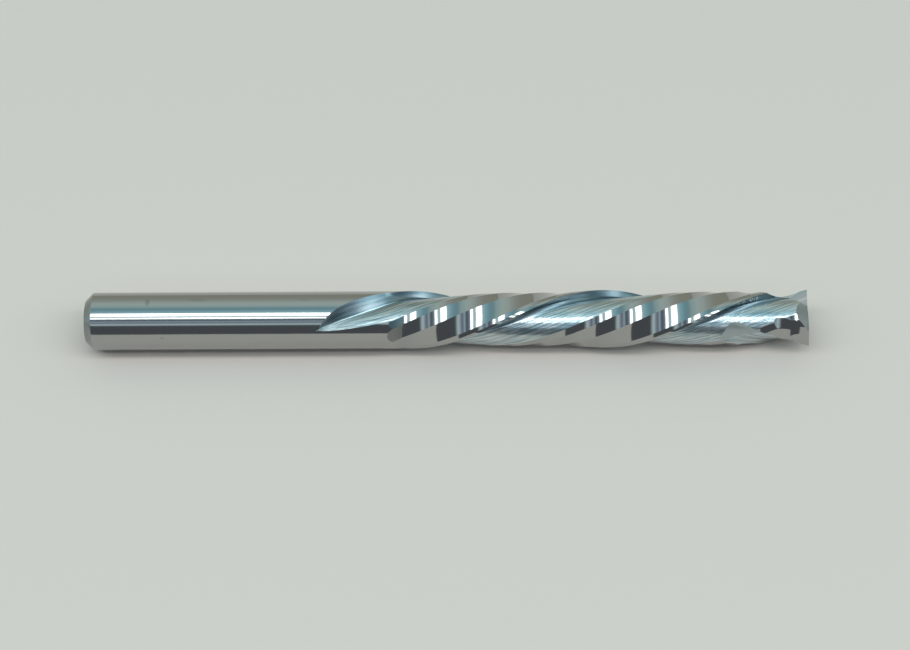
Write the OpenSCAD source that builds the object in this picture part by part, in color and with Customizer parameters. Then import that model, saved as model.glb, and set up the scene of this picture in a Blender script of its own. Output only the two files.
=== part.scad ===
// Solid carbide compression end mill: a round shank, two long left-hand (down-cut) flutes, and two
// short right-hand (up-cut) flutes at the tip. The tool lies along +X with its tip at +X, and the
// origin is the centre of the shank's flat back face. All lengths are in millimetres.

/* [Overall] */
// Overall length, back face to tip
overall_length = 75; // [70:1:100]
// Shank diameter, ground to fit the collet
shank_d = 6; // [5:0.1:8]
// Diameter over the cutting edges
cutting_d = 6; // [5:0.1:8]
// Length of the zone with full cutting edges, measured from the tip
cutting_length = 42; // [30:1:60]
// Roll of the tool as it lies: the angle of a down-cut edge at the tip, up from level
roll = -26.3; // [-180:0.1:180]

/* [Shank] */
// Chamfer at the back end
back_chamfer = 0.8; // [0.2:0.1:1.2]
// Length of the blend from the shank to the cutting diameter, where the two differ
neck_taper = 2; // [1:0.5:4]

/* [Down-cut flutes] */
// Helix angle of the long flutes
helix_angle = 25.1; // [15:0.1:40]
// Angle that each flute opens, seen from the end
flute_opening = 74.5; // [60:0.5:90]
// Diameter of the solid core between the flutes
core_d = 4.3; // [2.5:0.1:4.6]
// Radial depth of the rake face below the cutting edge
rake_depth = 0.66; // [0.4:0.02:1]
// Angle from the cutting edge to the deepest line of the flute
gullet_angle = 15; // [8:0.5:25]
// Length over which the flutes run out towards the shank
flute_run_out = 7.7; // [5:0.1:12]

/* [Relief behind the edges] */
// Width of the round margin behind a down-cut edge
margin_width = 0.28; // [0.1:0.02:0.6]
// Angle from the edge to the end of the primary relief
primary_end = 14.5; // [12:0.5:20]
// Radial drop at the end of the primary relief
primary_drop = 0.08; // [0.04:0.01:0.15]
// Angle from the edge to the end of the second relief
second_end = 57.5; // [45:0.5:65]
// Radial drop at the end of the second relief
second_drop = 0.24; // [0.18:0.01:0.35]
// Angle from the edge to the end of the third relief
third_end = 88.7; // [75:0.1:92]
// Radial drop at the end of the third relief
third_drop = 0.235; // [0.2:0.005:0.35]
// Radial drop at the heel of the land
heel_drop = 0.29; // [0.25:0.01:0.4]
// Slope of the short ramp by which the relief starts
relief_ramp = 11; // [5:1:30]

/* [Up-cut tip] */
// Length of the up-cut cutting edges
up_cut_length = 4.3; // [3:0.1:8]
// Length over which the up-cut flutes run out into the down-cut ones
up_cut_run_out = 5.8; // [3:0.1:8]
// Angle from a down-cut edge to an up-cut edge, where both would meet the end face
up_cut_clock = 3.3; // [0:0.1:20]
// Relief angle of the end face
end_relief = 6.5; // [3:0.5:12]
// Dish angle of the end face
end_dish = 1.5; // [0:0.5:4]
// Depth of the end gash at the rim
gash_depth = 1.7; // [0.8:0.1:2.5]

/* [Hidden] */
carbide = [0.60, 0.62, 0.61];
bright_carbide = [0.70, 0.73, 0.73];

cut_r = cutting_d / 2;
shank_r = shank_d / 2;
core_r = core_d / 2;
heel_r = cut_r - heel_drop;
land_angle = 180 - flute_opening;
lead = PI * cutting_d / tan(helix_angle);
twist = 360 / lead;

// Stations along X where each kind of grinding starts, and where one zone meets the next
full_before_relief = 1.1;
plain_end = 0.2;
full_past_relief = 0.5;
tip_lead_in = 0.3;
relief_start = overall_length - cutting_length;
flute_start = relief_start - full_before_relief - flute_run_out;
shank_length = flute_start - plain_end;
ramp_slope = tan(relief_ramp);
up_full = overall_length - up_cut_length;
up_start = up_full - up_cut_run_out;
body_start = relief_start + full_past_relief;
tip_start = up_start - tip_lead_in;

// Angles of the first down-cut and up-cut edges about the axis at a station x
function down_edge(x) = roll + twist * (x - overall_length);
function up_edge(x) = roll + up_cut_clock - twist * (x - overall_length);

function clamp01(t) = min(1, max(0, t));
function wrap180(a) = a - 180 * floor(a / 180);

// Radius of the straight line that joins (a1, r1) and (a2, r2), met at angle a
function chord(a, a1, r1, a2, r2) =
    r1 * r2 * sin(a2 - a1) / (r1 * sin(a - a1) + r2 * sin(a2 - a));

// Radius of the round blank at a station x
function blank_r(x) = shank_r + (cut_r - shank_r) * clamp01((x - shank_length) / neck_taper);

// Land behind a down-cut edge: a round margin and then four flats, b degrees behind the edge
margin_end = margin_width / cut_r * 180 / PI;
primary_r = cut_r - primary_drop;
second_r = cut_r - second_drop;
third_r = cut_r - third_drop;
function land_r(b) =
    b <= margin_end ? cut_r :
    b <= primary_end ? chord(b, margin_end, cut_r, primary_end, primary_r) :
    b <= second_end ? chord(b, primary_end, primary_r, second_end, second_r) :
    b <= third_end ? chord(b, second_end, second_r, third_end, third_r) :
    chord(b, third_end, third_r, land_angle, heel_r);
function relieved_r(b, x) = min(blank_r(x), land_r(b) + ramp_slope * max(0, relief_start - x));

// Flute floor at full depth, f degrees before the edge (f runs from -flute_opening to 0). The back
// is a round hump from the heel to the gullet, and the gullet rises to the foot of the rake face.
gullet_normal = -3;
heel_pt = heel_r * [cos(flute_opening), -sin(flute_opening)];
gullet_pt = core_r * [cos(gullet_angle), -sin(gullet_angle)];
back_chord = gullet_pt - heel_pt;
half_turn = gullet_normal - (atan2(back_chord[1], back_chord[0]) - 90);
back_r = norm(back_chord) / (2 * sin(half_turn));
back_c = gullet_pt - back_r * [cos(gullet_normal), sin(gullet_normal)];
function back_floor(f) = back_c[0] * cos(f) + back_c[1] * sin(f)
    + sqrt(pow(back_r, 2) - pow(back_c[0] * sin(f) - back_c[1] * cos(f), 2));
gullet_slope = core_r * tan(-gullet_angle - gullet_normal) * gullet_angle * PI / 180;
gullet_rise = cut_r - rake_depth - core_r - gullet_slope;
function gullet_floor(t) = core_r + gullet_slope * t + gullet_rise * t * t;
function floor_r(f) = f < -gullet_angle ? back_floor(f) : gullet_floor(1 + f / gullet_angle);
// Run-out: u runs from the pointed start (0) past the full depth (1) to the full shape (1.2), and t
// stops at 1. The angles of the heel side, the gullet and the rake side spread as it deepens.
start_angle = -23;
start_half_width = 1;
deepening = 4;
heel_spread = 0.78;
rake_spread = 8;
rake_bow = 6;
gullet_bow = 3.5;
gullet_turn_u = 0.75;
wall_turn_u = 0.85;
full_shape_u = 1.2;
function down_u(x) = min(full_shape_u, max(0, (x - flute_start) / flute_run_out));
function smooth(v) = let (c = clamp01(v)) c * c * (3 - 2 * c);
function turned(u, from) = smooth((u - from) / (full_shape_u - from));
function run_depth(t) = 1 - pow(1 - t, deepening);
function heel_side(t) =
    (start_angle - start_half_width + flute_opening) * (1 - pow(t, heel_spread)) - flute_opening;
function rake_side(t) = (start_angle + start_half_width) * pow(1 - t, rake_spread) + rake_bow * sin(180 * t);
function gullet_side(u) = start_angle - gullet_bow * sin(180 * min(1, u))
    - (start_angle + gullet_angle) * turned(u, gullet_turn_u);

// Sections are drawn in the plane of the edge: x points out to the edge, y to the land behind it
function polar(r, a) = r * [cos(a), sin(a)];
// Round back of the flute from the heel (q = 0) to the gullet (q = 1), turning through 2 * bend
function back_pt(q, heel, gullet, bend) = let (
        chord = gullet - heel, along = chord / norm(chord), out = [along[1], -along[0]],
        r = norm(chord) / (2 * sin(bend)), swing = bend - 2 * bend * q)
    heel + r * ((sin(bend) - sin(swing)) * along + (cos(swing) - cos(bend)) * out);
// Wall from the gullet (q = 0) to the edge (q = 1): straight in the run-out, and in the full flute
// a rising gullet (up to q = foot_q) and then the radial rake face
foot_q = 0.75;
function straight_pt(q, a, b) = a + (b - a) * q;
function full_wall_pt(q, r1, r2, a1, a2) = let (
        g = min(1, q / foot_q), rise = (gullet_slope * g + gullet_rise * g * g) / (cut_r - core_r),
        rake = max(0, (q - foot_q) / (1 - foot_q)))
    polar(r1 + (r2 - r1) * (rise + (1 - rise) * rake), a1 + (a2 - a1) * g);

// Up-cut edge: primary relief, then a second flat that carries on until it leaves the blank
up_second_last = 66;
function up_land_r(b) =
    b <= primary_end ? chord(b, 0, cut_r, primary_end, primary_r) :
    b < up_second_last ? min(cut_r, chord(b, primary_end, primary_r, second_end, second_r)) : cut_r;
up_start_angle = -60;
up_opening = 82;
up_heel_spread = 0.8;
up_rake_spread = 3;
up_deep_share = 0.55;
up_relief_start = up_full + 0.6;
up_ramp_slope = 0.3;
up_floor_s = 0.55;
up_floor_curve = 2.5;
up_gullet_s = 0.85;
up_gullet_rise = 0.2;
function up_t(x) = clamp01((x - up_start) / (up_cut_run_out * up_deep_share));
function up_heel_side(t) = up_start_angle - (up_opening + up_start_angle) * pow(t, up_heel_spread);
function up_rake_side(t) = up_start_angle * pow(1 - t, up_rake_spread);
// Depth of the up-cut flute, s running from its heel side (0) to its rake face (1)
function up_depth(s) = (cut_r - core_r) * (1 - pow(max(0, 1 - s / up_floor_s), up_floor_curve))
    - up_gullet_rise * pow(max(0, (s - up_gullet_s) / (1 - up_gullet_s)), 2);
function up_r(b, x) = let (
        t = up_t(x), h = up_heel_side(t), k = up_rake_side(t),
        f = b - 180, s = (f - h) / max(0.01, k - h))
    t > 0 && f > h && f < k
        ? cut_r - up_depth(s) * (1 - pow(1 - t, 2))
        : b < 180 + h ? min(cut_r, up_land_r(b) + up_ramp_slope * max(0, up_relief_start - x))
        : cut_r;

// Radius of the down-cut section at b degrees (0 to 180) behind the edge
function down_r(b) = b < land_angle ? land_r(b) : floor_r(b - 180);

// Radius of the finished tool at angle a and station x, within the tip zone
function tip_r(a, x) = min(down_r(wrap180(a - down_edge(x))), up_r(wrap180(a - up_edge(x)), x));

// End face: x of the end at radius r and b degrees behind an up-cut edge
facet_angle = 88;
facet_height = 1.88;
facet_slope = 1.7;
gash_turn = 168;
gash_curve = 0.385;
function end_x(r, b) = overall_length - (cut_r - r) * tan(end_dish) * sin(min(90, b))
    - r * sin(min(b, 90)) * tan(end_relief)
    - max(facet_slope * max(0, r * cos(b - facet_angle) - facet_height),
        min(gash_depth, gash_curve * pow(max(0, r * cos(b - gash_turn)), 3)));

// A point at radius r and angle a about the axis; a = 0 is level towards -Y and a = 90 is up
function at(x, a, r) = [x, -r * cos(a), r * sin(a)];

// Closes a stack of rings, each with the same number of points, with a fan at either end
module ringed_solid(rings, first_centre, last_centre) {
    n = len(rings[0]);
    m = len(rings);
    first = n * m;
    polyhedron(
        points = concat([for (ring = rings) each ring], [first_centre, last_centre]),
        faces = concat(
            [for (i = [0 : m - 2], j = [0 : n - 1]) let (k = (j + 1) % n)
                each [[i * n + j, i * n + k, (i + 1) * n + k], [i * n + j, (i + 1) * n + k, (i + 1) * n + j]]],
            [for (j = [0 : n - 1]) [first, (j + 1) % n, j]],
            [for (j = [0 : n - 1]) [first + 1, (m - 1) * n + j, (m - 1) * n + (j + 1) % n]]
        ));
}

// Evenly spaced steps from a to b, without b
function steps(a, b, n) = [for (i = [0 : n - 1]) a + (b - a) * i / n];

// Stations across one land and one flute, dense where the section bends
land_stations = concat(steps(0, margin_end, 2), steps(margin_end, primary_end, 1), steps(primary_end, second_end, 4),
    steps(second_end, third_end, 3), steps(third_end, land_angle, 2));
back_stations = steps(0, 1, 8);
least_bend = 0.5;
wall_stations = concat(steps(0, foot_q, 3), [foot_q, (1 + foot_q) / 2]);

// Puts a point of the section plane at station x, with the edge at angle a
function placed(x, p, a) = [x, p[1] * sin(a) - p[0] * cos(a), p[0] * sin(a) + p[1] * cos(a)];

// Half of the ring at station x, from one edge to the next
function half_ring(x, turn) = let (
        u = down_u(x), t = min(1, u), h = heel_side(t), k = rake_side(t), c = gullet_side(u),
        edge = down_edge(x) + turn, span = 180 + h - k, full = turned(u, wall_turn_u),
        c_r = blank_r(x) - run_depth(t) * (blank_r(x) - core_r),
        heel = polar(relieved_r(land_angle, x), h), gullet = polar(c_r, c), bend = max(least_bend, half_turn * t))
    concat(
        [for (b = land_stations) at(x, edge + k + b * span / land_angle, relieved_r(b, x))],
        [for (q = back_stations) placed(x, back_pt(q, heel, gullet, bend), edge + 180)],
        [for (q = wall_stations) placed(x,
            straight_pt(full, straight_pt(q, gullet, polar(blank_r(x), k)), full_wall_pt(q, c_r, blank_r(x), c, k)),
            edge + 180)]);
function ring(x) = concat(half_ring(x, 0), half_ring(x, 180));

module fluted_zone(x1, x2, rows) {
    ringed_solid([for (i = [0 : rows]) ring(x1 + (x2 - x1) * i / rows)], [x1, 0, 0], [x2, 0, 0]);
}

// Tip zone: columns follow the up-cut helix, and each is drawn to a crease that passes close by
tip_columns = 128;
tip_rows = 32;
tip_step = 360 / tip_columns;
down_creases = [0, margin_end, primary_end, second_end, third_end, land_angle];
up_creases = [0, primary_end];
function gap(a, c) = a - c - 180 * round((a - c) / 180);
function snapped(a, x) = let (
        gaps = concat([for (c = up_creases) gap(a, up_edge(x) + c)], [for (c = down_creases) gap(a, down_edge(x) + c)]),
        near = [for (g = gaps) if (abs(g) <= tip_step / 2) g])
    len(near) > 0 ? a - near[0] : a;
function column_angle(j, x) = snapped(up_edge(x) + j * tip_step, x);
function rim_x(j, tries, x) = tries == 0 ? x :
    let (a = column_angle(j, x)) rim_x(j, tries - 1, end_x(tip_r(a, x), wrap180(a - up_edge(x))));
rim_tries = 5;
end_rings = [1, 0.75, 0.5, 0.25];
function end_pt(a, x, k) = let (r = tip_r(a, x) * k) at(end_x(r, wrap180(a - up_edge(x))), a, r);

module shank() {
    color(bright_carbide)
    rotate([0, 90, 0])
    rotate_extrude($fn = 128)
    polygon([[0, 0], [shank_r - back_chamfer, 0], [shank_r, back_chamfer], [shank_r, shank_length], [0, shank_length]]);
}

module flute_run_out_zone() {
    color(carbide)
    fluted_zone(shank_length, body_start, 24);
}

module down_cut_flutes() {
    color(bright_carbide)
    fluted_zone(body_start, tip_start, 40);
}

module up_cut_tip() {
    rims = [for (j = [0 : tip_columns - 1]) rim_x(j, rim_tries, overall_length)];
    color(carbide)
    ringed_solid(concat(
        [for (i = [0 : tip_rows - 1]) [for (j = [0 : tip_columns - 1]) let (
            x = tip_start + (rims[j] - tip_start) * i / tip_rows, a = column_angle(j, x))
            at(x, a, tip_r(a, x))]],
        [for (k = end_rings) [for (j = [0 : tip_columns - 1]) end_pt(column_angle(j, rims[j]), rims[j], k)]]),
        [tip_start, 0, 0], [overall_length - cut_r * tan(end_dish), 0, 0]);
}

shank();
flute_run_out_zone();
down_cut_flutes();
up_cut_tip();
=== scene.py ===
import math

import bpy
import numpy as np
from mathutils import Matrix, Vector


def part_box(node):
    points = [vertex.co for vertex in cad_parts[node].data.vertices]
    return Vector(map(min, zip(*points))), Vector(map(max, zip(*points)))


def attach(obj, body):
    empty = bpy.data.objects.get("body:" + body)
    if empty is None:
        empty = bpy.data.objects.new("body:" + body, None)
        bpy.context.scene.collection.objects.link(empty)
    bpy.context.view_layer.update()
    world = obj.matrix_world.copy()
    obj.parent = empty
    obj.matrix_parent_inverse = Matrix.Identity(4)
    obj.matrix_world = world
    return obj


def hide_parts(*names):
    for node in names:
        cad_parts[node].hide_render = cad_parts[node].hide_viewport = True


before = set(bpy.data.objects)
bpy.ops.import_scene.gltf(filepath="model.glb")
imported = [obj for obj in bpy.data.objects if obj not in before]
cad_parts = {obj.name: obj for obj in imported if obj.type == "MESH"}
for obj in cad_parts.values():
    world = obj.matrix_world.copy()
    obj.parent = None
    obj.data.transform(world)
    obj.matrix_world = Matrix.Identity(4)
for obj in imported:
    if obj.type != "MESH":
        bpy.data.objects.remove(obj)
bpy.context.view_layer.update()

# ---- Bench, lamps and viewpoint -------------------------------------------------------------
# The tool lies on its side on a plain pale bench. Two long strip lamps hang over it, parallel to
# it, in a room that is dim in front and light behind. The camera looks down at it at 55 degrees.

MM = 0.001
tip_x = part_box("up_cut_tip")[1].x / MM
tool_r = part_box("shank")[1].z / MM


class Shade:
    """A shader value that can be written in Python expressions; each operator adds one Math node."""

    tree = None

    def __init__(self, socket):
        self.socket = socket

    @classmethod
    def node(cls, kind, settings=None, inputs=None, output=0):
        """Adds a node of that kind, with its settings first and then its inputs' values or links."""
        made = cls.tree.nodes.new(kind)
        for key, value in (settings or {}).items():
            if key == "stops":
                cls.set_stops(made.color_ramp, value)
            else:
                setattr(made, key, value)
        for key, value in (inputs or {}).items():
            if isinstance(value, Shade):
                cls.tree.links.new(value.socket, made.inputs[key])
            else:
                made.inputs[key].default_value = value
        return cls(made.outputs[output])

    @staticmethod
    def set_stops(ramp, stops):
        """Fills a colour ramp from (position, colour) pairs."""
        while len(ramp.elements) < len(stops):
            ramp.elements.new(1.0)
        for element, (position, colour) in zip(ramp.elements, stops):
            element.position = position
            element.color = (*colour, 1.0)

    @classmethod
    def math(cls, operation, a, b=0.0):
        return cls.node("ShaderNodeMath", {"operation": operation}, {0: a, 1: b})

    @classmethod
    def axes(cls, vector):
        """The X, Y and Z of a vector."""
        split = cls.node("ShaderNodeSeparateXYZ", inputs={0: vector}).socket.node
        return [cls(one) for one in split.outputs]

    def __add__(self, other):
        return Shade.math("ADD", self, other)

    def __sub__(self, other):
        return Shade.math("SUBTRACT", self, other)

    def __rsub__(self, other):
        return Shade.math("SUBTRACT", other, self)

    def __mul__(self, other):
        return Shade.math("MULTIPLY", self, other)

    def __truediv__(self, other):
        return Shade.math("DIVIDE", self, other)

    def clamp(self):
        return Shade.node("ShaderNodeClamp", inputs={"Value": self})


def new_material(name):
    """An empty node material, with Shade pointed at its tree, and its Principled shader."""
    material = bpy.data.materials.new(name)
    material.use_nodes = True
    Shade.tree = material.node_tree
    return material, material.node_tree.nodes["Principled BSDF"]


def set_inputs(shader, values):
    """Links or sets each named input of a shader."""
    for key, value in values.items():
        if isinstance(value, Shade):
            Shade.tree.links.new(value.socket, shader.inputs[key])
        else:
            shader.inputs[key].default_value = value


def blended(factor, a, b):
    """Colour a where factor is 0 and colour b where it is 1."""
    made = Shade.node("ShaderNodeMix", {"data_type": "RGBA"}, {"Factor": factor}, "Result").socket.node
    for name, value in (("A", a), ("B", b)):
        socket = [one for one in made.inputs if one.name == name and one.type == "RGBA"][0]
        if isinstance(value, Shade):
            Shade.tree.links.new(value.socket, socket)
        else:
            socket.default_value = value
    return Shade([one for one in made.outputs if one.type == "RGBA"][0])


def room_glow():
    """World colour by height angle, from 0 level in front, over the top, to 180 level behind.

    A soft window glows beyond the shank end of the tool."""
    world = bpy.data.worlds.new("dim_room")
    world.use_nodes = True
    bpy.context.scene.world = world
    Shade.tree = world.node_tree
    toward = Shade.node("ShaderNodeTexCoord", output="Generated")
    right, ahead, up = Shade.axes(toward)
    half_turn = Shade.math("ARCTAN2", up, ahead * -1.0) / math.pi
    bands = [
        (0, (0.115, 0.130, 0.145)),
        (35, (0.115, 0.130, 0.150)),
        (38, (0.45, 0.58, 0.58)),
        (41.2, (0.76, 0.96, 1.05)),
        (45, (0.42, 0.52, 0.60)),
        (48.7, (0.20, 0.26, 0.36)),
        (50.5, (0.34, 0.42, 0.52)),
        (52.4, (0.62, 0.76, 0.86)),
        (54.2, (0.32, 0.42, 0.50)),
        (56.1, (0.12, 0.17, 0.23)),
        (60, (0.20, 0.27, 0.34)),
        (66, (0.50, 0.70, 0.80)),
        (72, (0.70, 0.95, 1.05)),
        (88, (0.50, 0.80, 0.90)),
        (96, (0.32, 0.61, 0.73)),
        (101, (0.26, 0.52, 0.60)),
        (106, (0.30, 0.50, 0.55)),
        (112, (0.46, 0.66, 0.69)),
        (123, (0.60, 0.76, 0.74)),
        (134, (0.58, 0.69, 0.66)),
        (144, (0.49, 0.55, 0.52)),
        (156, (0.42, 0.45, 0.39)),
        (180, (0.40, 0.41, 0.34)),
    ]
    bands = [(height / 180, colour) for height, colour in bands]
    ramp = Shade.node("ShaderNodeValToRGB", {"stops": bands}, {0: half_turn})
    window_edge, window_sharpness, window_share = 0.972, 90.0, 0.8
    window = ((right * -1.0 - window_edge) * window_sharpness).clamp() * window_share
    set_inputs(world.node_tree.nodes["Background"],
               {"Color": blended(window, ramp, (0.55, 0.80, 0.86, 1.0))})


def direction(height):
    """Unit vector square to the tool, at that height angle from level in front."""
    angle = math.radians(height)
    return np.array([0.0, -math.cos(angle), math.sin(angle)])


def strip_lamp(name, height, spread, away=0.9, length=3.0, glow=4.0):
    """A long lamp parallel to the tool; spread is the angle that its width fills."""
    width = 2 * away * math.tan(math.radians(spread / 2))
    lamp = bpy.data.lights.new(name, "AREA")
    lamp.shape = "RECTANGLE"
    lamp.size = length
    lamp.size_y = width
    lamp.energy = glow * math.pi * length * width
    holder = bpy.data.objects.new(name, lamp)
    bpy.context.scene.collection.objects.link(holder)
    holder.location = direction(height) * away + np.array([tip_x / 2 * MM, 0, 0])
    holder.rotation_euler = (math.radians(90 - height) * -1, 0, 0)


room_glow()
strip_lamp("lamp_over", height=79.6, spread=11.2)
strip_lamp("lamp_front", height=65.8, spread=6.4)

bench_mesh = bpy.data.meshes.new("bench")
bench_half = 3.0
bench_z = -tool_r * MM
bench_mesh.from_pydata(
    [(-bench_half, -bench_half, bench_z), (bench_half, -bench_half, bench_z),
     (bench_half, bench_half, bench_z), (-bench_half, bench_half, bench_z)],
    [], [(0, 1, 2, 3)])
bench = bpy.data.objects.new("bench", bench_mesh)
bpy.context.scene.collection.objects.link(bench)
bench_material, bench_shader = new_material("pale_bench")
set_inputs(bench_shader, {"Base Color": (0.655, 0.58, 0.52, 1.0), "Roughness": 0.8})
bench_mesh.materials.append(bench_material)

view_height = 55.0
view_distance = 243.5
view_x = 38.3
view_drop = 0.56
view_roll = 0.3
camera = bpy.data.cameras.new("camera")
camera.lens = 92.6
camera.sensor_width = 36.0
camera_object = bpy.data.objects.new("camera", camera)
bpy.context.scene.collection.objects.link(camera_object)
look = direction(view_height)
view_up = direction(view_height + 90)
camera_object.location = (np.array([view_x, 0, 0]) - view_drop * view_up + view_distance * look) * MM
camera_object.rotation_euler = (math.radians(90 - view_height), 0, 0)
camera_object.rotation_euler.rotate_axis("Z", math.radians(-view_roll))
bpy.context.scene.camera = camera_object
bpy.context.scene.view_settings.view_transform = "Standard"

# ---- Shank ----------------------------------------------------------------------------------
# The round end of the carbide rod, ground on a centreless grinder and lapped nearly to a mirror.
# Its back end is faced flat and has a 45 degree chamfer with lightly broken corners.

shank_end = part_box("shank")[1].x / MM
back_chamfer = 0.8
corner_break = 0.05
shank_stations = 40
shank_turn_step = 1.0
shank_sharp_angle = 50
carbide_base = (0.42, 0.42, 0.41, 1.0)
# Painted shade: the chamfer is coloured darker than the carbide, for the dimmer reflection that it shows.
chamfer_painted_shade = (0.30, 0.32, 0.32, 1.0)
oiled_tone = (0.20, 0.21, 0.20, 1.0)
chamfer_ring_pitch = 0.06
chamfer_ring_height = 0.000004


def shell(name, rings, caps, across=None, finish=None, creased=None):
    """A closed mesh through a stack of rings of points in mm, each ring as long as the next.

    rings is (rows, columns, 3), and each row runs the same way round the axis. caps are the two
    points that close the first and the last ring with a fan. across and finish are given for the
    four corners, and for the middle, of each side face: U is across, V is the station along X.
    creased is (rows, columns), true for the points that a sharp edge along the tool runs through."""
    rows, columns = rings.shape[:2]
    points = np.concatenate([rings.reshape(-1, 3), np.array(caps)]) * MM
    row, column = np.meshgrid(np.arange(rows - 1), np.arange(columns), indexing="ij")
    beside = (column + 1) % columns
    corners = [row * columns + column, (row + 1) * columns + column,
               (row + 1) * columns + beside, row * columns + beside]
    sides = np.stack(corners, -1).reshape(-1, 4)
    spoke = np.arange(columns)
    round_on = (spoke + 1) % columns
    last = (rows - 1) * columns
    first_fan = np.stack([np.full(columns, rows * columns), spoke, round_on], -1)
    last_fan = np.stack([np.full(columns, rows * columns + 1), last + round_on, last + spoke], -1)
    mesh = bpy.data.meshes.new(name)
    mesh.from_pydata(points.tolist(), [], sides.tolist() + first_fan.tolist() + last_fan.tolist())
    mesh.polygons.foreach_set("use_smooth", np.ones(len(mesh.polygons), bool))
    if across is not None:
        uv = np.zeros((len(mesh.loops), 2))
        uv[:sides.size, 0] = across.reshape(-1)
        uv[:sides.size, 1] = rings.reshape(-1, 3)[sides.reshape(-1), 0]
        mesh.uv_layers.new(name="grind").data.foreach_set("uv", uv.reshape(-1))
        values = np.zeros(len(mesh.polygons))
        values[:len(sides)] = finish.reshape(-1)
        mesh.attributes.new("finish", "FLOAT", "FACE").data.foreach_set("value", values)
    if creased is not None:
        ends = np.empty(len(mesh.edges) * 2, np.int64)
        mesh.edges.foreach_get("vertices", ends)
        ends = ends.reshape(-1, 2)
        along = ends[:, 0] % columns == ends[:, 1] % columns
        marked = np.concatenate([creased.reshape(-1), [False, False]])
        crease = along & marked[ends].all(1)
        end_ring = ~along & np.isin(ends.min(1) // columns, (0, rows - 1))
        sharp = (crease | end_ring) & (ends.max(1) < rows * columns)
        mesh.attributes.new("sharp_edge", "BOOLEAN", "EDGE").data.foreach_set("value", sharp)
    piece = bpy.data.objects.new(name, mesh)
    bpy.context.scene.collection.objects.link(piece)
    return piece


def around(x, angle, radius):
    """Points at that angle and radius about the axis; 0 is level in front and 90 is up."""
    turn = np.radians(angle)
    x, turn, radius = np.broadcast_arrays(x, turn, radius)
    return np.stack([x, -radius * np.cos(turn), radius * np.sin(turn)], -1)


def shank_profile():
    """Radius at each station along the shank: face, broken corner, chamfer, corner, cylinder."""
    half = corner_break / 2
    bend = half * (1 - math.sqrt(0.5))
    lean = half * 0.7
    face_r = tool_r - back_chamfer
    x = [0, 0, bend, lean, back_chamfer - half, back_chamfer, back_chamfer + half]
    r = [face_r / 2, face_r - half, face_r - bend * 0.3, face_r + lean, tool_r - half, tool_r - bend / 2,
         tool_r]
    body = np.linspace(back_chamfer + half, shank_end, shank_stations)[1:]
    return np.concatenate([x, body]), np.concatenate([r, np.full(len(body), tool_r)])


profile_x, profile_r = shank_profile()
shank_turns = np.arange(0, 360, shank_turn_step)
shank = shell("ground_shank", around(profile_x[:, None], shank_turns[None, :], profile_r[:, None]),
              [(0, 0, 0), (shank_end, 0, 0)])
shank.data.set_sharp_from_angle(angle=math.radians(shank_sharp_angle))


def oil_spot(x, turn, station, height, length, width):
    """1 in the middle of a dry spot at that station (mm) and height angle, falling to 0 round it."""
    off_x, off_turn = (x - station) / length, (turn - height) / width
    return (1.0 - (off_x * off_x + off_turn * off_turn)).clamp()


def bumped(height, strength, distance):
    """The normal of a surface with that relief; distance is its full height in metres."""
    return Shade.node("ShaderNodeBump", inputs={"Strength": strength, "Distance": distance,
                                                "Height": height}, output="Normal")


def shank_finish():
    """Lapped carbide with a few dry oil spots; the chamfer is only ground, in fine rings, and is coloured
    darker as painted shade.
    """
    material, shader = new_material("lapped_carbide")
    place = Shade.node("ShaderNodeTexCoord", output="Object")
    x, y, z = (axis / MM for axis in Shade.axes(place))
    turn = Shade.math("ARCTAN2", z, y * -1.0) * (180 / math.pi)
    spots = (oil_spot(x, turn, station=6.6, height=95, length=0.3, width=11)
             + oil_spot(x, turn, station=11.8, height=101, length=1.1, width=6) * 0.5
             + oil_spot(x, turn, station=8.1, height=19, length=0.2, width=3)
             + oil_spot(x, turn, station=22.8, height=100, length=0.9, width=5) * 0.3)
    dull_and_shaded_chamfer = Shade.math("LESS_THAN", x, back_chamfer - 0.01)
    lapped = blended(spots * 0.5, carbide_base, oiled_tone)
    rings = Shade.math("SINE", x * (2 * math.pi / chamfer_ring_pitch)) * dull_and_shaded_chamfer
    # The chamfer's rings and roughness are its grinding; its darker colour is painted shade.
    set_inputs(shader, {"Base Color": blended(dull_and_shaded_chamfer, lapped, chamfer_painted_shade), "Metallic": 1.0,
                        "Roughness": dull_and_shaded_chamfer * 0.08 + (spots * 0.15 + 0.10),
                        "Normal": bumped(rings, 1.0, chamfer_ring_height)})
    return material


shank.data.materials.append(shank_finish())
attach(shank, "root")
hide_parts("shank")

# ---- Down-cut body --------------------------------------------------------------------------
# Two long left-hand flutes are ground in the rod, and behind each edge the land has a narrow round
# margin and four flats. Towards the shank the wheel lifts out, and the flutes run out in a point.

core_r = 2.15
rake_depth = 0.66
gullet_angle = 15.0
gullet_normal = -3.0
flute_opening = 74.5
land_angle = 180 - flute_opening
land_angles = np.array([0.0, 5.4, 14.5, 57.5, 88.7, land_angle])
land_radii = tool_r - np.array([0.0, 0.0, 0.08, 0.24, 0.235, 0.29])
heel_r = land_radii[-1]
margin_end = land_angles[1]
helix_angle = 25.1
lead = math.pi * 2 * tool_r / math.tan(math.radians(helix_angle))
twist = 360 / lead
roll = -26.3
cutting_length = 42.0
relief_start = tip_x - cutting_length
full_before_relief = 1.1
flute_run_out = 7.7
flute_start = relief_start - full_before_relief - flute_run_out
ramp_slope = math.tan(math.radians(11))
ramp_end = 32.85
start_angle = -23.0
start_half_width = 1.0
full_shape_u = 1.2
gullet_turn_u = 0.75
wall_turn_u = 0.85
heel_spread = 0.78
rake_spread = 8
rake_bow = 6
gullet_dip = 3.5
deepening = 4
least_bend = 0.01
foot_q = 0.75
degree_mm = tool_r * math.pi / 180
just_behind = 0.01
ground_by = 0.004
run_out_step = 0.05
body_step = 0.1


def down_edge(x):
    """Angle of the first down-cut edge at station x."""
    return roll + twist * (x - tip_x)


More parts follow.
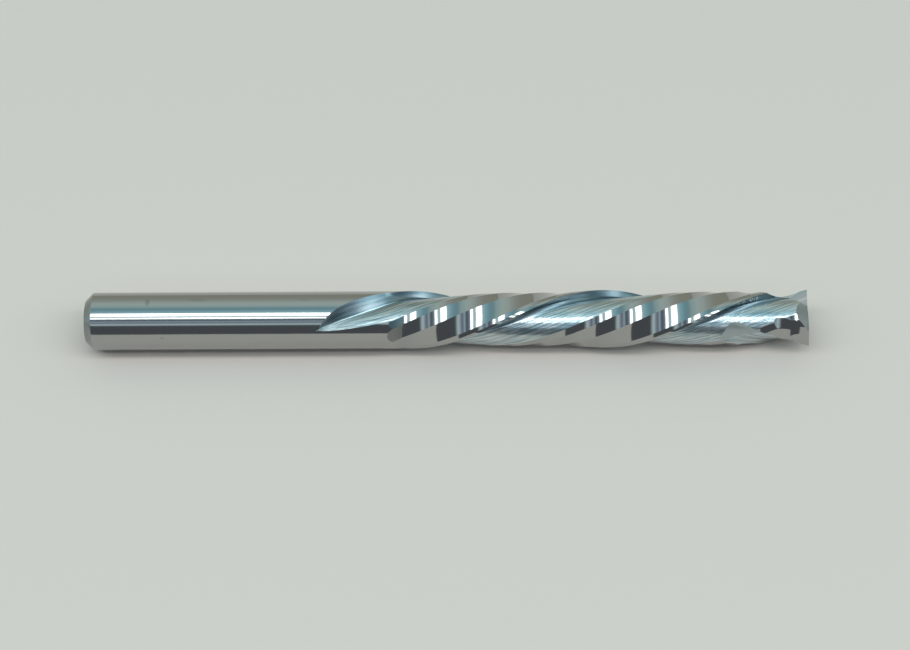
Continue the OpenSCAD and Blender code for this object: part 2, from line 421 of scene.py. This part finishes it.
def chord(b, a1, r1, a2, r2):
    """Radius at angle b of the straight line that joins (a1, r1) and (a2, r2)."""
    a1, a2, b = np.radians(a1), np.radians(a2), np.radians(b)
    return r1 * r2 * np.sin(a2 - a1) / (r1 * np.sin(b - a1) + r2 * np.sin(a2 - b))


def land_r(b):
    """Radius of the land b degrees behind the edge: straight lines between its corners."""
    k = np.clip(np.searchsorted(land_angles, b, side="right") - 1, 1, len(land_angles) - 2)
    flat = chord(b, land_angles[k], land_radii[k], land_angles[k + 1], land_radii[k + 1])
    return np.where(b <= margin_end, tool_r, flat)


def plane(radius, angle):
    """The two coordinates, in the section plane, of a point at that radius and angle."""
    return radius * np.cos(np.radians(angle)), radius * np.sin(np.radians(angle))


heel_point = np.array(plane(heel_r, -flute_opening))
gullet_point = np.array(plane(core_r, -gullet_angle))
back_line = gullet_point - heel_point
half_bend = math.radians(gullet_normal - math.degrees(math.atan2(back_line[1], back_line[0])) + 90)
back_r = np.linalg.norm(back_line) / (2 * math.sin(half_bend))
back_centre = gullet_point - np.array(plane(back_r, gullet_normal))
gullet_slope = core_r * math.tan(math.radians(-gullet_angle - gullet_normal)) * math.radians(gullet_angle)
gullet_rise = tool_r - rake_depth - core_r - gullet_slope


def floor_r(f):
    """Radius of the flute floor f degrees before the edge: a round back, then the gullet."""
    turn = np.radians(f)
    along = back_centre[0] * np.cos(turn) + back_centre[1] * np.sin(turn)
    off = back_centre[0] * np.sin(turn) - back_centre[1] * np.cos(turn)
    back = along + np.sqrt(back_r ** 2 - off ** 2)
    t = 1 + f / gullet_angle
    gullet = core_r + gullet_slope * t + gullet_rise * t * t
    return np.where(f < -gullet_angle, back, gullet)


def relieved_r(b, x):
    """Radius of the land at station x: the wheel comes in along a ramp up to the relief's start."""
    return np.minimum(tool_r, land_r(b) + ramp_slope * np.maximum(0, relief_start - x))


def smooth(v):
    """0 up to 0, 1 from 1 on, and an S curve with level ends between them."""
    v = np.clip(v, 0, 1)
    return v * v * (3 - 2 * v)


def turned(u, start):
    """How far a side has turned to its full shape, from 0 at that start to 1 at full_shape_u."""
    return smooth((u - start) / (full_shape_u - start))


def run_out(x):
    """How far the flute has come in, and the angles of its heel side, gullet and rake side, at x."""
    u = np.clip((x - flute_start) / flute_run_out, 0, full_shape_u)
    t = np.minimum(1, u)
    still_shut = (start_angle - start_half_width + flute_opening) * (1 - t ** heel_spread)
    heel_side = still_shut - flute_opening
    rake_side = (start_angle + start_half_width) * (1 - t) ** rake_spread + rake_bow * np.sin(math.pi * t)
    opening = (start_angle + gullet_angle) * turned(u, gullet_turn_u)
    gullet_side = start_angle - gullet_dip * np.sin(math.pi * t) - opening
    return u, t, heel_side, gullet_side, rake_side


def between(stops, counts):
    """Stations from the first stop to the last, with that many even steps between stops."""
    parts = [np.linspace(a, b, n, endpoint=False) for a, b, n in zip(stops, stops[1:], counts)]
    return np.concatenate(parts)


# The 2.25 kind marks painted shade, not a grinding of its own: the relief entry behind the fourth flat is
# coloured nearly black.
land_grind, flute_grind, fine_grind, coarse_grind, painted_shade_grind, wall_grind = 0.0, 1.0, 1.75, 2.0, 2.25, 3.0
wall_steps = [20, 8]
land_stations = between(land_angles, [3, 4, 16, 12, 7])
back_stations = between([0, 1], [30])
wall_stations = between([0, foot_q, 1], wall_steps)


def back_of_flute(q, heel_a, heel_radius, gullet_a, gullet_radius, bend):
    """Angle and radius along the arc from heel to gullet that turns through twice bend."""
    heel_y, heel_z = plane(heel_radius, heel_a)
    gullet_y, gullet_z = plane(gullet_radius, gullet_a)
    run_y, run_z = gullet_y - heel_y, gullet_z - heel_z
    scale = 1 / (2 * np.sin(bend))
    swung = bend - 2 * bend * q
    along = (np.sin(bend) - np.sin(swung)) * scale
    out = (np.cos(swung) - np.cos(bend)) * scale
    y = heel_y + along * run_y + out * run_z
    z = heel_z + along * run_z - out * run_y
    return np.degrees(np.arctan2(z, y)), np.hypot(y, z)


def fluted_rings(x):
    """Rings of points at stations x: land, back of the flute, wall, then all again half a turn on.

    The land is a circle cut by flats, the back of the flute an arc from its heel to the gullet, and
    the wall starts as a straight line and turns into the foot and the rake face as the flute fills."""
    x = x[:, None]
    u, t, heel_side, gullet_side, rake_side = run_out(x)
    full = turned(u, wall_turn_u)
    edge = down_edge(x)
    b, q, w = land_stations[None, :], back_stations[None, :], wall_stations[None, :]
    land = rake_side + b * (180 + heel_side - rake_side) / land_angle
    land_radius = relieved_r(b, x)
    gullet_r = tool_r - (1 - (1 - t) ** deepening) * (tool_r - core_r)
    back, back_radius = back_of_flute(q, heel_side, relieved_r(np.array(land_angle), x),
                                      gullet_side, gullet_r, np.maximum(least_bend, half_bend * t))
    g = np.minimum(1, w / foot_q)
    foot = (gullet_slope * g + gullet_rise * g * g) / (tool_r - core_r)
    rake = np.maximum(0, (w - foot_q) / (1 - foot_q))
    full_y, full_z = plane(gullet_r + (tool_r - gullet_r) * (foot + (1 - foot) * rake),
                           gullet_side + (rake_side - gullet_side) * g)
    gullet_y, gullet_z = plane(gullet_r, gullet_side)
    edge_y, edge_z = plane(tool_r, rake_side)
    flat_y, flat_z = gullet_y + (edge_y - gullet_y) * w, gullet_z + (edge_z - gullet_z) * w
    wall_y, wall_z = flat_y + (full_y - flat_y) * full, flat_z + (full_z - flat_z) * full
    wall, wall_radius = np.degrees(np.arctan2(wall_z, wall_y)), np.hypot(wall_y, wall_z)
    angle = edge + np.concatenate([land, back + 180, wall + 180], 1)
    radius = np.concatenate([land_radius, back_radius, wall_radius], 1)
    return around(x, np.concatenate([angle, angle + 180], 1), np.concatenate([radius, radius], 1))


def fluted_across():
    """Distance across the grinding marks of each column, in degrees behind the edge."""
    back = land_angle + (flute_opening - gullet_angle) * back_stations
    wall = 180 - gullet_angle + gullet_angle * wall_stations
    half = np.concatenate([land_stations, back, wall])
    return np.concatenate([half, half + 180, [360.0]])


def fluted_piece(name, x1, x2, step):
    """The fluted rod from x1 to x2, with a ring each step, and the kind of grinding of each face."""
    stations = np.linspace(x1, x2, round((x2 - x1) / step) + 1)
    across = fluted_across()
    shape = (len(stations) - 1, len(across) - 1)
    left = np.broadcast_to(across[:-1], shape)
    right = np.broadcast_to(across[1:], shape)
    mid = stations[:-1, None] + step / 2
    behind = np.mod(left, 180) + just_behind
    ground_down = relieved_r(behind, mid) < tool_r - ground_by
    ramped = (mid < ramp_end) & (behind > land_angles[3]) & ground_down
    # Behind the fourth flat the ramped entry takes painted shade, which hides the lamp's reflection there.
    entry = np.where(ramped, np.where(behind > land_angles[4], painted_shade_grind, coarse_grind), land_grind)
    finish = np.where(behind > 180 - gullet_angle, wall_grind,
                      np.where(behind > land_angle, flute_grind, entry))
    return shell(name, fluted_rings(stations), [(x1, 0, 0), (x2, 0, 0)],
                 np.stack([left, left, right, right], -1) * degree_mm, finish, creases(stations))


def creases(stations):
    """True along the edge, the heel and the foot, and along the land's corners once they are ground."""
    half = np.zeros((len(stations), len(land_stations) + len(back_stations) + len(wall_stations)), bool)
    half[:, [0, len(land_stations), len(half[0]) - wall_steps[1]]] = True
    for k, corner in enumerate(land_angles[1:-1], 1):
        ground_down = relieved_r(land_angles[max(2, k)], stations) < tool_r
        half[:, np.argmin(abs(land_stations - corner))] = ground_down
    return np.concatenate([half, half], 1)


def metal(settings):
    """Adds a metal shader to the current tree and returns it."""
    made = Shade.tree.nodes.new("ShaderNodeBsdfPrincipled")
    set_inputs(made, {"Base Color": carbide_base, "Metallic": 1.0, **settings})
    return Shade(made.outputs["BSDF"])


def mixed(factor, a, b):
    """Shader a where factor is 0 and shader b where it is 1."""
    made = Shade.tree.nodes.new("ShaderNodeMixShader")
    Shade.tree.links.new(factor.socket, made.inputs["Fac"])
    Shade.tree.links.new(a.socket, made.inputs[1])
    Shade.tree.links.new(b.socket, made.inputs[2])
    return Shade(made.outputs["Shader"])


def stretched_noise(across_scale, along_scale, detail=2.0):
    """Noise drawn out along the grinding marks; the scales are in waves per mm."""
    grid = Shade.node("ShaderNodeUVMap", {"uv_map": "grind"})
    scaled = Shade.node("ShaderNodeVectorMath", {"operation": "MULTIPLY"},
                        {0: grid, 1: (across_scale, along_scale, 1.0)})
    return Shade.node("ShaderNodeTexNoise", {"noise_dimensions": "2D"},
                      {"Vector": scaled, "Scale": 1.0, "Detail": detail}, "Fac")


# Painted highlight: a pale blue line along the deepest line of each flute, in place of the lamps'
# reflection there.
gullet_highlight_tone = (0.75, 0.92, 0.96, 1.0)
gullet_highlight_half_width = 0.10
gullet_highlight_share = 0.8
all_soft_before = 33.4
glossy_share = 0.45


def ramped_from(value, start, steepness=4.0):
    """0 up to that start, then rising to 1 at that steepness."""
    return ((value - start) * steepness).clamp()


def painted_gullet_highlight(across):
    """1 along the deepest line of a flute, where a pale painted highlight runs, and 0 beside it."""
    behind = Shade.math("FLOORED_MODULO", across, 180 * degree_mm)
    off = Shade.math("ABSOLUTE", behind - (180 - gullet_angle) * degree_mm)
    return (1.0 - off / gullet_highlight_half_width).clamp()


def flute_finish():
    """One material for all grinding, chosen by finish, with painted light: lands, streaky flutes, matte
    patches, walls.
    """
    material, land = new_material("ground_carbide")
    finish = Shade.node("ShaderNodeAttribute", {"attribute_name": "finish"}, output="Fac")
    set_inputs(land, {"Base Color": carbide_base, "Metallic": 1.0, "Roughness": 0.08})
    across, station, _ = Shade.axes(Shade.node("ShaderNodeUVMap", {"uv_map": "grind"}))
    # Streaky colour along the grinding marks: partly the marks, partly painted reflection; the teal tints
    # are painted reflection of the room.
    grind_marks_and_painted_glints = ramped_from(stretched_noise(5.0, 0.25), 0.38)
    # Painted highlight along the gullet, on the flutes here and on the walls below.
    gullet_highlight = painted_gullet_highlight(across) * gullet_highlight_share
    tone = blended(gullet_highlight, blended(grind_marks_and_painted_glints, (0.23, 0.33, 0.37, 1.0), (0.62, 0.66, 0.65, 1.0)), gullet_highlight_tone)
    gloss_tone = blended(grind_marks_and_painted_glints, (0.36, 0.45, 0.48, 1.0), (0.68, 0.72, 0.71, 1.0))
    streaks = stretched_noise(3.5, 0.45) * 0.6 + stretched_noise(11.0, 0.7) * 0.25
    glossy = metal({"Base Color": gloss_tone, "Roughness": 0.07, "Normal": bumped(streaks, 1.0, 0.000015)})
    soft = metal({"Base Color": tone, "Roughness": 0.3, "Normal": bumped(streaks, 1.0, 0.00007)})
    run_out_share = (all_soft_before - station).clamp()
    flute = mixed(run_out_share * glossy_share + (1 - glossy_share), glossy, soft)
    matte_marks = stretched_noise(1.0, 14.0)
    coarse = ramped_from(finish, fine_grind)
    # The darkest matte colour is painted shade.
    painted_shade_share = ramped_from(finish, coarse_grind)
    grey = blended(coarse, (0.44, 0.49, 0.50, 1.0), (0.28, 0.28, 0.27, 1.0))
    matte = metal({"Base Color": blended(painted_shade_share, grey, (0.10, 0.15, 0.16, 1.0)), "Roughness": 0.45,
                   "Normal": bumped(matte_marks, 0.3, 0.00001)})
    # Painted reflection: the wall is coloured dark blue, streaked, for the dim room that it reflects.
    wall_painted_dark_reflection = blended(grind_marks_and_painted_glints, (0.13, 0.20, 0.23, 1.0), (0.25, 0.31, 0.34, 1.0))
    wall_tone = blended(gullet_highlight, wall_painted_dark_reflection, gullet_highlight_tone)
    wall = metal({"Base Color": wall_tone, "Roughness": 0.34, "Normal": bumped(streaks, 1.0, 0.00003)})
    is_flute = Shade.math("GREATER_THAN", finish, flute_grind - 0.5)
    is_matte = Shade.math("GREATER_THAN", finish, fine_grind - 0.25)
    is_wall = Shade.math("GREATER_THAN", finish, wall_grind - 0.5)
    shiny = mixed(is_flute, Shade(land.outputs["BSDF"]), flute)
    whole = mixed(is_wall, mixed(is_matte, shiny, matte), wall)
    Shade.tree.links.new(whole.socket, material.node_tree.nodes["Material Output"].inputs["Surface"])
    return material


run_out_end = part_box("flute_run_out_zone")[1].x / MM
body_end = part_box("down_cut_flutes")[1].x / MM
ground = flute_finish()
run_out_piece = fluted_piece("flute_run_out", shank_end, run_out_end, run_out_step)
body_piece = fluted_piece("down_cut_body", run_out_end, body_end, body_step)
for piece, node in ((run_out_piece, "flute_run_out_zone"), (body_piece, "down_cut_flutes")):
    piece.data.materials.append(ground)
    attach(piece, "root")
    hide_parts(node)

# ---- Up-cut tip -----------------------------------------------------------------------------
# Near the end two short right-hand flutes cross the long ones, each with its own relief, and the
# end face is ground back from two end edges, with a gash in front of each.

up_clock = 3.3
up_cut_length = 4.3
up_cut_run_out = 5.8
up_full = tip_x - up_cut_length
up_start = up_full - up_cut_run_out
up_start_angle = -60.0
up_opening = 82.0
up_heel_spread = 0.8
up_rake_spread = 3
up_deep_share = 0.55
up_floor_s = 0.55
up_floor_curve = 2.5
up_gullet_s = 0.85
up_gullet_rise = 0.2
full_past_relief = 0.6
up_relief_start = up_full + full_past_relief
up_ramp_slope = 0.3
up_second_last = 66.0
end_relief = math.tan(math.radians(6.5))
end_dish = math.tan(math.radians(1.5))
facet_angle = 88.0
facet_height = 1.88
facet_slope = 1.7
gash_depth = 1.7
gash_turn = 168.0
gash_curve = 0.385
scoop_angle = -47
scoop_slope = 13.8
scoop_station = 67.3
tip_columns = 400
tip_rows = 200
face_rows = 30
rim_tries = 8
tip_step = 360 / tip_columns
tip_sharp_angle = 14
down_creases = land_angles
up_creases = [0.0, land_angles[2]]


def up_edge(x):
    """Angle of the first up-cut edge at station x."""
    return roll + up_clock - twist * (x - tip_x)


def up_depth(s):
    """Depth of the up-cut flute, s running from its heel side (0) to its rake face (1)."""
    rise = up_gullet_rise * np.maximum(0, (s - up_gullet_s) / (1 - up_gullet_s)) ** 2
    return (tool_r - core_r) * (1 - np.maximum(0, 1 - s / up_floor_s) ** up_floor_curve) - rise


def wrapped(a):
    """Angle behind the nearest edge, from 0 to 180."""
    near_zero = 1e-6
    return np.mod(a + near_zero, 180.0)


def up_r(b, x):
    """Radius that the up-cut grinding leaves, b degrees behind an up-cut edge."""
    t = np.clip((x - up_start) / (up_cut_run_out * up_deep_share), 0, 1)
    heel_side = up_start_angle - (up_opening + up_start_angle) * t ** up_heel_spread
    rake_side = up_start_angle * (1 - t) ** up_rake_spread
    f = b - 180
    s = (f - heel_side) / np.maximum(0.01, rake_side - heel_side)
    depth = 1 - (1 - t) ** 2
    flute = tool_r - up_depth(np.clip(s, 0, 1)) * depth
    primary = chord(b, 0.0, tool_r, land_angles[2], land_radii[2])
    second = chord(b, land_angles[2], land_radii[2], land_angles[3], land_radii[3])
    relief = np.where(b <= land_angles[2], primary, second)
    relief = np.where(b < up_second_last, relief, tool_r)
    relief = relief + up_ramp_slope * np.maximum(0, up_relief_start - x)
    radius = np.where(b < 180 + heel_side, relief, tool_r)
    in_flute = (t > 0) & (f > heel_side) & (f < rake_side)
    return np.minimum(tool_r, np.where(in_flute, flute, radius))


def down_r(b):
    """Radius that the down-cut grinding leaves, b degrees behind a down-cut edge."""
    return np.where(b < land_angle, land_r(b), floor_r(b - 180))


def tip_r(a, x):
    """Radius of the tip at angle a and station x: what the deeper of the two grindings leaves."""
    return np.minimum(down_r(wrapped(a - down_edge(x))), up_r(wrapped(a - up_edge(x)), x))


def end_x(r, b):
    """Station of the end face at radius r, b degrees behind an up-cut edge."""
    fall = (tool_r - r) * end_dish * np.sin(np.radians(np.minimum(90, b)))
    relief = r * np.sin(np.radians(np.minimum(b, 90))) * end_relief
    facet = facet_slope * np.maximum(0, r * np.cos(np.radians(b - facet_angle)) - facet_height)
    gash = gash_curve * np.maximum(0, r * np.cos(np.radians(b - gash_turn))) ** 3
    return tip_x - fall - relief - np.maximum(facet, np.minimum(gash_depth, gash))


def column_angles(x):
    """Angles of the columns at stations x (one row each); a column is drawn to a crease nearby."""
    column = np.arange(tip_columns)[None, :]
    a = up_edge(x) + column * tip_step
    for creases, edge in ((down_creases, down_edge(x)), (up_creases, up_edge(x))):
        for crease in creases:
            gap = np.mod(a - edge - crease + 90, 180) - 90
            a = np.where(np.abs(gap) <= tip_step / 2, a - gap, a)
    return a


def tip_rings():
    """Side rows from the body to the rim, then rings of the end face from the rim inwards."""
    rim = np.full((1, tip_columns), tip_x)
    for _ in range(rim_tries):
        a = column_angles(rim)
        rim = end_x(tip_r(a, rim), wrapped(a - up_edge(rim)))
    share = np.linspace(0, 1, tip_rows, endpoint=False)[:, None]
    x = body_end + (rim - body_end) * share
    a = column_angles(x)
    sides = around(x, a, tip_r(a, x))
    rim_a = column_angles(rim)
    inward = np.linspace(1, 0, face_rows, endpoint=False)[:, None]
    r = tip_r(rim_a, rim) * inward
    face = around(end_x(r, wrapped(rim_a - up_edge(rim))), rim_a, r)
    angles = np.concatenate([a, np.repeat(rim_a, len(r), 0)])
    return np.concatenate([sides, face]), angles


def tip_finish(rings, angles):
    """Across and finish for the faces of the tip, from the grinding that is deepest at each."""
    x = rings[:, :, 0]
    a = np.concatenate([angles, angles[:, :1] + 360], 1)
    x = np.concatenate([x, x[:, :1]], 1)
    corner_a = np.stack([a[:-1, :-1], a[1:, :-1], a[1:, 1:], a[:-1, 1:]], -1)
    corner_x = np.stack([x[:-1, :-1], x[1:, :-1], x[1:, 1:], x[:-1, 1:]], -1)
    mid_a, mid_x = corner_a.mean(-1), corner_x.mean(-1)
    down_b, up_b = wrapped(mid_a - down_edge(mid_x)), wrapped(mid_a - up_edge(mid_x))
    by_up = up_r(up_b, mid_x) < down_r(down_b)
    f = up_b - 180
    scoop = (f > -up_opening) & (f > scoop_angle + scoop_slope * (mid_x - scoop_station))
    up_finish = np.where(scoop, fine_grind, np.where(f > -up_opening, flute_grind, land_grind))
    down_finish = np.where(down_b > 180 - gullet_angle, wall_grind,
                           np.where(down_b > land_angle, flute_grind, land_grind))
    finish = np.where(by_up, up_finish, down_finish)
    finish[tip_rows:] = coarse_grind
    edge = np.where(by_up[..., None], up_edge(corner_x), down_edge(corner_x))
    return (corner_a - edge) * degree_mm, finish


tip_grid, tip_angles = tip_rings()
tip_across, tip_grinds = tip_finish(tip_grid, tip_angles)
tip = shell("up_cut_end", tip_grid, [(body_end, 0, 0), (tip_x - tool_r * end_dish, 0, 0)],
            tip_across, tip_grinds)
tip.data.set_sharp_from_angle(angle=math.radians(tip_sharp_angle))
tip.data.materials.append(ground)
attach(tip, "root")
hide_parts("up_cut_tip")
